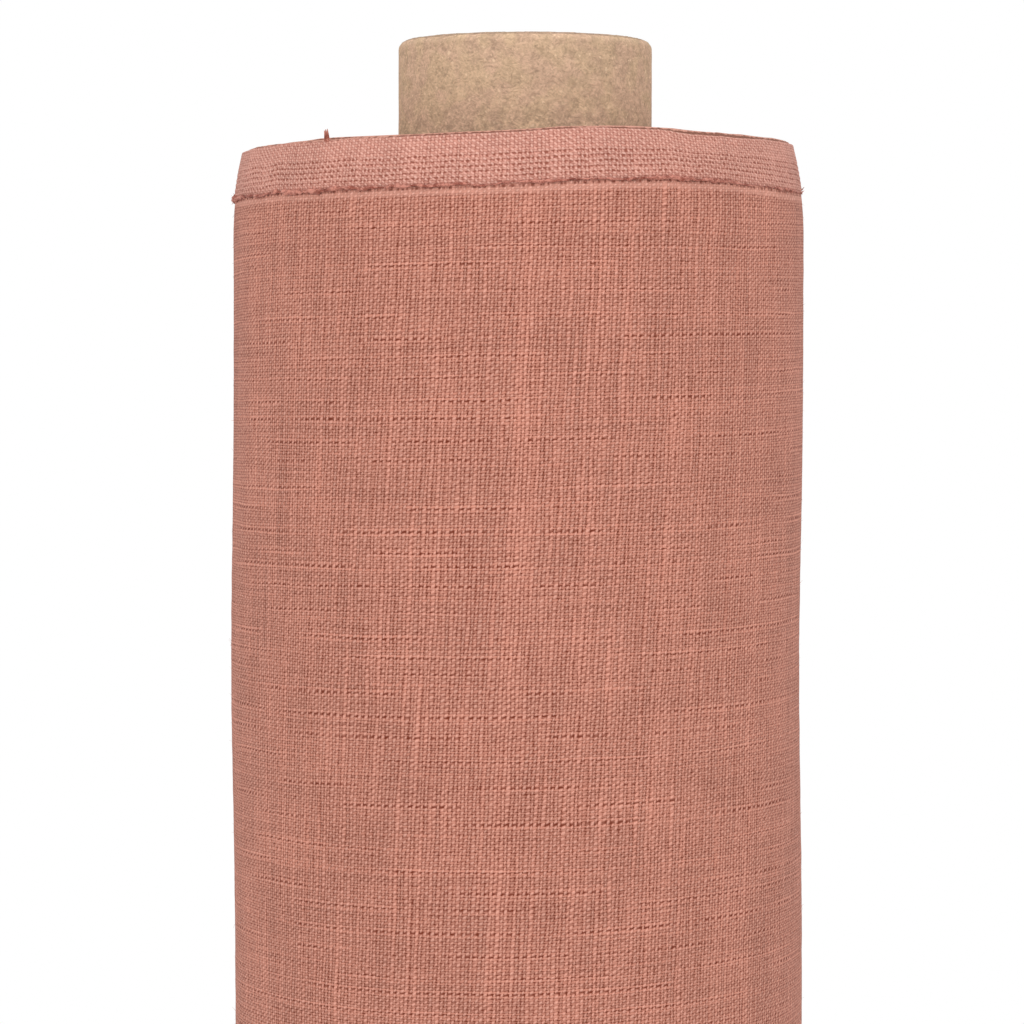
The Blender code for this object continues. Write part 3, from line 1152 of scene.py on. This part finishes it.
@dataclass
class WovenEdge:
    """The denser woven edge over the last turns, with the slubby thread that lies along its foot.

    Args:
        turns: the turns it tops.
        rib_from: depth under the edge where its ribs start.
        rib_to: depth where they end.
        rib_pitch: spacing of the ribs.
        dash_pitch: spacing of the dips along a rib.
        proud: how far it stands out over the cloth under it.
        thread_radius: of the thread, where it is full.
        column_step: width of a face of the edge.
        thread_step: length of a face of the thread.
    """

    turns: OuterTurns
    rib_from: float = 0.0030
    rib_to: float = 0.0084
    rib_pitch: float = 0.00102
    dash_pitch: float = 0.00112
    proud: float = 0.00022
    thread_radius: float = 0.00038
    column_step: float = 0.00028
    thread_step: float = 0.00025

    def spans(self) -> list[Span]:
        """The stretches of the turns, those on the roll joined in pairs."""
        spans = self.turns.spans()
        on_roll = [s for s in spans if s.bodies == ("roll",)]
        pairs = zip(on_roll[::2], on_roll[1::2])
        joined = [Span(f"turn_{k + 1}", a.first, b.last) for k, (a, b) in enumerate(pairs)]
        return joined + [s for s in spans if s.bodies != ("roll",)]

    def fullness(self, unwound: np.ndarray) -> np.ndarray:
        """How full the thread is, from 0.3 to 1: fuller on the side where it was pulled up."""
        azimuth = np.radians(self.turns.winding.end_azimuth - unwound)
        side = 0.5 + 0.5 * np.cos(azimuth - math.radians(205))
        slub = THREADS.at(self.turns.winding.run(unwound) / 0.012)
        return np.clip(0.34 + 0.52 * smooth(side) + 0.30 * slub, 0.22, 1.0)

    def band(self, span: Span) -> Shell:
        """The edge itself: one ply whose outer side has ribs, each with a row of short dips.

        The side stands out by `proud`, less 0.05 mm times a cosine down its ribs, less a dip where the
        cosines along and down both peak.
        """
        winding = self.turns.winding
        top, foot = winding.height, winding.height - winding.edge_width
        fine = stepped(foot, top - 0.0002, 0.00021)
        rim = np.array([top, top - 0.0001])
        back = np.array([top - 0.002, top - 0.006, foot])
        z = np.concatenate([fine, rim, back])
        under = [0.12 * MM, 0.85 * winding.ply] + [winding.ply] * len(back)
        depth = np.append(np.zeros(len(fine)), under)
        u, below = span.columns(winding, self.column_step)[:, None], (top - z)[None]
        run = winding.run(u)
        count = (below - self.rib_from) / self.rib_pitch
        number = np.round(count)
        ribbed = smooth((below - self.rib_from) / 0.0008) * smooth((self.rib_to - below) / 0.0006)
        beat = np.cos(2 * math.pi * (run / self.dash_pitch + 0.5 * number))
        dips = np.clip(beat, 0, 1) * (np.abs(count - number) < 0.3)
        rib = 0.045 * np.cos(2 * math.pi * count) + 0.055 * dips
        stand = self.proud * smooth((winding.edge_width - below) / 0.0009)
        tooth = 0.018 * SPECKS.at(run / 0.0006, below / 0.0005)
        out = (depth[None] == 0) * (stand - (ribbed * rib + tooth) * MM)
        high = winding.lifted(u, np.broadcast_to(z, out.shape))
        points = winding.place(u, depth[None] - out, high)
        place = np.stack(np.broadcast_arrays(run, high, below), axis=-1)
        return capped(points, place)

    def thread(self, span: Span) -> Shell:
        """The thread: a round whose radius follows its fullness, with two twisted strands and lumps."""
        winding = self.turns.winding
        u, sides = span.columns(winding, self.thread_step)[:, None], 10
        turn = (np.arange(sides) * 2 * math.pi / sides)[None]
        run = winding.run(u)
        full = self.fullness(u)
        twist = 1 + 0.22 * full * np.cos(2 * (turn + run / 0.00052))
        lumps = 1 + 0.65 * THREADS.at(run / 0.0019, 5.0) + 0.45 * THREADS.at(run / 0.0007, turn * 1.3)
        radius = self.thread_radius * full * twist * np.maximum(lumps, 0.2)
        sway = 0.24 * THREADS.at(run / 0.006, 11.0) + 0.16 * THREADS.at(run / 0.0012, 14.0)
        z = winding.height - winding.edge_width + sway * MM + radius * np.sin(turn)
        depth = -0.10 * MM - 0.35 * self.thread_radius * full - radius * np.cos(turn)
        return capped(winding.place(u, depth, winding.lifted(u, z)), slot=1)

    def tufts(self, span: Span, seed: int) -> Shell:
        """Short fibres that stand out of the thread, more where it is full."""
        winding = self.turns.winding
        rng = np.random.default_rng(seed)
        count = int((winding.run(span.last) - winding.run(span.first)) / 0.00010)
        u = rng.uniform(span.first, span.last, count)
        keep = rng.random(count) < self.fullness(u) ** 1.3
        u, count = u[keep], int(keep.sum())
        z = winding.lifted(u, winding.height - winding.edge_width + rng.normal(0, 0.12, count) * MM)
        roots = winding.place(u, np.full(count, -0.15 * MM), z)
        out, side = axes(winding, u)
        length = rng.uniform(0.15, 0.55, (count, 1)) * MM * self.fullness(u)[:, None] ** 0.5
        lean = rng.normal(0, 0.9, (count, 1))
        heads = length * (0.75 * out + lean * side + rng.normal(-0.15, 0.6, (count, 1)) * UP)
        bends = length * rng.normal(0, 0.5, (count, 3))
        shell = strands(roots, heads, bends, rng.uniform(0.04, 0.11, count) * MM)
        shell.slot = 1
        return shell

    def build(self, edge: bpy.types.Material, thread: bpy.types.Material) -> list[bpy.types.Object]:
        """Builds the edge, the thread and its fibres for every stretch."""
        made = []
        for number, span in enumerate(self.spans()):
            shells = [self.band(span), self.thread(span), self.tufts(span, 100 + number)]
            obj = make_piece(f"edge_{span.name}", shells, [edge, thread])
            self.turns.follow(obj, span)
            made.append(obj)
        return made


THREADS = Grain(16, 512)


def axes(winding: Winding, unwound: np.ndarray) -> tuple[np.ndarray, np.ndarray]:
    """Unit vectors at these unwound angles: away from the roll's axis, and level back along the cloth."""
    turn = np.radians(winding.end_azimuth - unwound)
    out = np.stack([np.cos(turn), np.sin(turn), np.zeros_like(turn)], axis=-1)
    return out, np.cross(out, UP)


@dataclass
class WoundTurns:
    """All the turns under those that show, as one doubled sheet that ends at the core.

    Args:
        winding: the spiral.
        first: unwound angle where the turns that show end.
        column_step: degrees between columns.
    """

    winding: Winding
    first: float
    column_step: float = 5.0

    def build(self, finish: bpy.types.Material) -> bpy.types.Object:
        """Builds the sheet."""
        winding = self.winding
        columns = stepped(self.first, winding.total, self.column_step)
        top = winding.height
        ends = [top - below for below in (0.018, 0.012, 0.006, 0.002, 0.0)]
        shown = np.array([winding.doubled / 2, 0.02, 0.3, 0.6] + ends)
        shell = wound_shell(winding, columns, doubled_profile(winding, shown, top))
        obj = make_piece("cloth_wound_turns", [shell], [finish])
        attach(obj, "roll")
        return obj


@dataclass
class LooseThreads:
    """Threads and fibres that stand off the cloth: frays at the edges, fuzz, the fringe of the cut end.

    Args:
        winding: the spiral.
        peeled: unwound angle up to which the cloth peels off, so that no thread is rooted there.
    """

    winding: Winding
    peeled: float = 95.0

    def frays(self) -> Shell:
        """A few thicker threads: one standing on the top edge, others at the foot of the woven edge."""
        winding = self.winding
        foot = winding.height - winding.edge_width
        # azimuth, height, length out, length round, length up, bend, radius (the lengths in mm)
        rows = np.array(
            [
                [-130.8, winding.height - 0.0016, 0.1, 0.05, 2.3, 0.12, 0.40],
                [-130.6, winding.height - 0.0015, 0.2, 0.05, 2.2, -0.15, 0.37],
                [-131.1, winding.height - 0.0016, 0.1, 0.10, 2.1, 0.10, 0.35],
                [-130.5, winding.height - 0.0012, 0.1, -0.10, 2.0, 0.20, 0.30],
                [-176.0, foot - 0.0002, 0.6, 0.1, -0.6, 0.3, 0.20],
                [-174.5, foot - 0.0005, 0.5, -0.2, -0.9, 0.2, 0.17],
                [-3.5, foot + 0.0006, 0.5, 0.1, 0.7, 0.2, 0.19],
                [-5.5, foot + 0.0002, 0.6, 0.2, 0.3, -0.2, 0.17],
                [-60.0, foot + 0.0003, 0.4, 0.5, 0.7, 0.2, 0.13],
                [-72.0, foot + 0.0002, 0.3, -0.6, 0.2, 0.2, 0.14],
                [-104.0, foot - 0.0002, 0.3, 0.9, -0.4, 0.2, 0.16],
                [-93.0, foot, 0.3, 0.9, 0.3, 0.2, 0.15],
            ]
        )
        u = (winding.end_azimuth - rows[:, 0]) % FULL_TURN
        u = np.where(u < self.peeled, u + FULL_TURN, u)
        roots = winding.place(u, np.full(len(u), -0.1 * MM), rows[:, 1])
        out, side = axes(winding, u)
        heads = (rows[:, 2:3] * out + rows[:, 3:4] * side + rows[:, 4:5] * UP) * MM
        bends = (rows[:, 5:6] * side + 0.3 * rows[:, 5:6] * out) * MM
        return strands(roots, heads, bends, rows[:, 6] * MM, rings=6)

    def fuzz(self, count: int = 5200, seed: int = 31) -> Shell:
        """Fine fibres that stand off the outside of the last turn, all over."""
        winding = self.winding
        rng = np.random.default_rng(seed)
        u = rng.uniform(100.0, 460.0, count)
        z = rng.uniform(0.004, winding.height - winding.edge_width - 0.001, count)
        roots = winding.place(u, np.full(count, 0.02 * MM), z)
        out, side = axes(winding, u)
        length = rng.uniform(0.2, 0.75, (count, 1)) * MM
        heads = 0.55 * out + rng.normal(0, 0.8, (count, 1)) * side + rng.normal(0, 0.8, (count, 1)) * UP
        bends = length * rng.normal(0, 0.35, (count, 3))
        place = np.stack([winding.run(u), z, np.full(count, 0.1)], axis=-1)
        return strands(roots, length * heads, bends, rng.uniform(0.02, 0.045, count) * MM, 3, place)

    def fringe(self, count: int = 900, seed: int = 32) -> Shell:
        """Yarn ends along the cut free end, both plies, which stick out past the cut."""
        winding = self.winding
        rng = np.random.default_rng(seed)
        z = rng.uniform(0.001, winding.height - 0.0002, count)
        depth = np.where(rng.random(count) < 0.5, 0.23, 0.75) * MM
        u = np.full(count, 0.15)
        roots = winding.place(u, depth, z)
        out, side = axes(winding, u)
        length = rng.uniform(0.4, 2.2, (count, 1)) * MM
        heads = rng.normal(0.03, 0.1, (count, 1)) * out - side + rng.normal(0, 0.12, (count, 1)) * UP
        bends = rng.normal(0, 0.12, (count, 3)) - 0.12 * out
        place = np.stack([z, z, np.full(count, 0.1)], axis=-1)
        return strands(roots, length * heads, length * bends, rng.uniform(0.06, 0.13, count) * MM, 4, place)

    def build(self, thread: bpy.types.Material, linen: bpy.types.Material) -> None:
        """Builds the frays and fuzz on the roll, and the fringe on the last strip."""
        fuzz = self.fuzz()
        fuzz.slot = 1
        on_roll = make_piece("loose_threads", [self.frays(), fuzz], [thread, linen])
        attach(on_roll, "roll")
        on_end = make_piece("cut_end_fringe", [self.fringe()], [linen])
        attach(on_end, "tail_4")


# ------------------------------------------------------------------ the cardboard core


@dataclass
class Core:
    """The spirally glued tube, as three turned plies with a worn rim and a helical seam.

    Args:
        outer: outside radius.
        facing: inner radius of the kraft facing.
        liner: outer radius of the inner liner.
        bore: radius of the bore.
        top: height of the rim.
        rim_round: radius of the rim's worn outer corner.
        bore_round: radius of its corner at the bore.
        seam_pitch: rise of the facing's seam in one turn.
        seam_width: how wide the step at the seam is.
        ply_pitch: spacing of the plies that show on the rim.
    """

    outer: float
    facing: float
    liner: float
    bore: float
    top: float
    rim_round: float = 0.0018
    bore_round: float = 0.0005
    seam_pitch: float = 0.115
    seam_width: float = 0.0009
    ply_pitch: float = 0.00055

    def rim(self, radius: np.ndarray) -> np.ndarray:
        """Height of the rim at a radius: flat, with a quarter round at the outer corner and a slight
        one at the bore."""
        past = np.clip(radius - (self.outer - self.rim_round), 0.0, self.rim_round)
        near = np.clip(self.bore + self.bore_round - radius, 0.0, self.bore_round)
        drop = self.rim_round - np.sqrt(self.rim_round**2 - past**2)
        return self.top - drop - (self.bore_round - np.sqrt(self.bore_round**2 - near**2))

    def ply(self, inner: float, outer: float, gap: float, rough: float, seed: int) -> Shell:
        """One turned ply: its section from the foot up its inner side, over the rim and down.

        Both sides carry the seam, a shallow step where the strip of paper meets its next turn, and the
        rim carries small dents and the edges of the plies.

        Args:
            inner: its inner radius.
            outer: its outer radius.
            gap: how far its inner side keeps from the ply inside it.
            rough: how rough its sides are.
            seed: starts its random draw.
        """
        grain, columns = Grain(seed), 288
        azimuth = np.linspace(0, FULL_TURN, columns, endpoint=False)[:, None]
        fine = stepped(self.top - 0.026, self.top - 0.003, 0.0012)
        up = np.concatenate([[0.0], stepped(0.004, self.top - 0.028, 0.02), fine])
        across = inner + (outer - inner) * (0.5 - 0.5 * np.cos(np.linspace(0, math.pi, 12)))
        across = np.clip(across, inner + gap, outer)
        radius = np.concatenate([np.full(len(up), inner + gap), across, np.full(len(up), outer)])[None]
        z = np.concatenate([up, self.rim(across), up[::-1]])[None]
        on_rim = np.concatenate([np.zeros(len(up)), np.ones(len(across)), np.zeros(len(up))])[None]
        phase = (z / self.seam_pitch - azimuth / FULL_TURN + 0.18) % 1.0
        seam = np.exp(-(((phase - 0.5) * self.seam_pitch / self.seam_width) ** 2))
        cells = azimuth / FULL_TURN * grain.cells
        wave = 0.05 * grain.at(cells, z / 0.012) + 0.03 * grain.at(cells, z / 0.002)
        side = np.sign(radius - (inner + outer) / 2) * (1 - on_rim)
        moved = radius + side * rough * (wave - 0.09 * seam) * MM
        plies = 0.07 * np.abs(np.sin(math.pi * (radius - self.bore) / self.ply_pitch))
        dents = 0.05 * grain.at(cells / 4, 40.5) + 0.05 * grain.at(cells, radius / 0.0007)
        turn = np.radians(azimuth)
        high = z + on_rim * (dents - plies) * MM
        points = np.stack([moved * np.cos(turn), moved * np.sin(turn), high], axis=-1)
        return Shell(points.reshape(-1, 3), ring_quads(columns, z.shape[1], joined=True))

    def build(self, kraft: bpy.types.Material, board: bpy.types.Material) -> None:
        """Builds the facing, the board and the liner."""
        rows = [
            ("core_facing", self.facing, self.outer, 0.0, 1.0, 41, kraft, "core_facing_ply", "kraft_paper"),
            ("core_board_plies", self.liner, self.facing, 4e-5, 0.5, 42, board, "core_board", "grey_board"),
            ("core_liner", self.bore, self.liner, 0.0, 0.8, 43, kraft, "core_liner_ply", "kraft_paper"),
        ]
        for name, inner, outer, gap, rough, seed, finish, node, slot in rows:
            obj = make_piece(name, [self.ply(inner, outer - gap, gap, rough, seed)], [finish])
            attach(obj, "roll")
            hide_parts(node)


def radii(node: bpy.types.Object) -> tuple[float, float]:
    """Smallest and largest distance of a node's points from the axis."""
    points = np.empty(len(node.data.vertices) * 3, np.float32)
    node.data.vertices.foreach_get("co", points)
    reach = np.hypot(points[0::3], points[1::3])
    return float(reach.min()), float(reach.max())


# ------------------------------------------------------------------ studio


@dataclass
class Studio:
    """Pale floor, soft light from both sides and above, and the camera in front of the roll.

    Args:
        cloth_top: height of the top of the cloth.
        distance: from the roll's axis to the camera.
        eye_below: how far the camera is below the top of the cloth.
        aside: how far it stands towards -X.
        pitch_down: degrees it looks down.
        field_of_view: in degrees.
        floor_radius: of the round floor.
    """

    cloth_top: float
    distance: float = 0.7256
    eye_below: float = 0.0413
    aside: float = 0.0026
    pitch_down: float = 2.46
    field_of_view: float = 15.94
    floor_radius: float = 2.6

    def camera(self) -> None:
        """Sets the scene's camera."""
        data = bpy.data.cameras.new("camera")
        data.sensor_fit = "AUTO"
        data.angle = math.radians(self.field_of_view)
        data.clip_start = 0.05
        obj = bpy.data.objects.new("camera", data)
        obj.location = (-self.aside, -self.distance, self.cloth_top - self.eye_below)
        obj.rotation_euler = (math.radians(90 - self.pitch_down), 0.0, 0.0)
        bpy.context.scene.collection.objects.link(obj)
        bpy.context.scene.camera = obj

    def lamp(self, name: str, at: tuple[float, ...], size: tuple[float, float], watts: float) -> None:
        """A soft panel light aimed at the middle of the roll."""
        data = bpy.data.lights.new(name, "AREA")
        data.shape = "RECTANGLE"
        data.size, data.size_y = size
        data.energy = watts
        obj = bpy.data.objects.new(name, data)
        obj.location = at
        aim = Vector((0.0, 0.0, 0.45)) - Vector(at)
        obj.rotation_euler = aim.to_track_quat("-Z", "Y").to_euler()
        bpy.context.scene.collection.objects.link(obj)

    def world(self, strength: float = 0.62) -> None:
        """Even light from all round; the camera sees plain white."""
        world = bpy.data.worlds.new("studio")
        world.use_nodes = True
        bpy.context.scene.world = world
        bench = Bench(world.node_tree)
        world.node_tree.nodes.clear()
        out = bench.add("ShaderNodeOutputWorld")
        kind = "ShaderNodeBackground"
        seen = bench.fed(bench.add(kind), {"Color": (1.0, 1.0, 1.0, 1.0), "Strength": 1.0})
        lit = bench.fed(bench.add(kind), {"Color": (1.0, 0.99, 0.98, 1.0), "Strength": strength})
        camera_ray = bench.add("ShaderNodeLightPath").outputs["Is Camera Ray"]
        mix = bench.fed(bench.add("ShaderNodeMixShader"), {0: camera_ray, 1: lit, 2: seen})
        bench.feed(out.inputs[0], mix)

    def floor(self) -> None:
        """A round floor under the foot, with a little unevenness of tone."""
        turn = np.linspace(0, 2 * math.pi, 128, endpoint=False)
        rim = np.stack([np.cos(turn), np.sin(turn), np.zeros_like(turn)], axis=-1) * self.floor_radius
        mesh = bpy.data.meshes.new("floor")
        mesh.from_pydata(rim.tolist(), [], [list(range(len(rim)))])
        material, bench, shader = new_material("pale_floor", 0.6)
        cloud = bench.noise(object_place(bench), 3.0, 3.0)
        tone = bench.blend(cloud, (0.86, 0.86, 0.86, 1.0), (0.90, 0.90, 0.89, 1.0))
        bench.feed(shader.inputs["Base Color"], tone)
        mesh.materials.append(material)
        obj = bpy.data.objects.new("floor", mesh)
        bpy.context.scene.collection.objects.link(obj)

    def build(self) -> None:
        """Sets up the whole studio."""
        self.camera()
        self.world()
        self.floor()
        self.lamp("left_panel", (-1.5, -1.5, 1.2), (0.9, 1.5), 16.0)
        self.lamp("right_panel", (1.6, -1.3, 1.1), (0.8, 1.4), 12.0)
        self.lamp("top_panel", (0.1, -0.5, 2.2), (1.2, 1.0), 10.0)
        scene = bpy.context.scene
        scene.view_settings.view_transform = "Standard"
        scene.view_settings.look = "None"


def corners(box: tuple) -> list[list[float]]:
    """A box's two corners as plain lists."""
    return [[float(c) for c in corner] for corner in box]


def main() -> None:
    """Builds the cloth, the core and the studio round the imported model."""
    logging.basicConfig(level=logging.INFO, format="%(name)s: %(message)s")
    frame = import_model()
    nodes = frame["nodes"]

    weave, flecks = weave_group(), fleck_group()
    linen = LinenFinish().make(weave)
    edge = SelvedgeFinish().make(weave)
    thread = ThreadFinish().make()
    kraft, board, tape = (PaperFinish(kind).make(flecks) for kind in PaperKind)

    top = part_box("outer_selvedge")[1].z
    winding = Winding(height=top, edge_width=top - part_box("outer_selvedge")[0].z)
    peel = []
    for joint in frame["joints"]:
        x, y, _ = joint["pos_m"]
        peel.append(winding.end_azimuth - math.degrees(math.atan2(y, x)))
    turns = OuterTurns(winding, peel)
    cloth = turns.build(linen)
    inner = WoundTurns(winding, turns.spans()[ROLL_SPANS - 1].last).build(linen)
    edges = WovenEdge(turns).build(edge, thread)
    LooseThreads(winding).build(thread, linen)

    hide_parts("wound_cloth")
    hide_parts("outer_ply", "under_ply", "bottom_fold")
    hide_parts("outer_selvedge", "under_selvedge")
    for number in range(len(peel)):
        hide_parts(f"tail_strip_{number + 1}")

    facing_in, facing_out = radii(nodes["core_facing_ply"])
    liner_in, liner_out = radii(nodes["core_liner_ply"])
    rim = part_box("core_board")[1].z
    Core(facing_out, facing_in, liner_out, liner_in, rim).build(kraft, board)
    for name in ("start_tape_lower", "start_tape_middle", "start_tape_upper"):
        nodes[name].data.materials.clear()
        nodes[name].data.materials.append(tape)

    Studio(top).build()


if __name__ == "__main__":
    main()
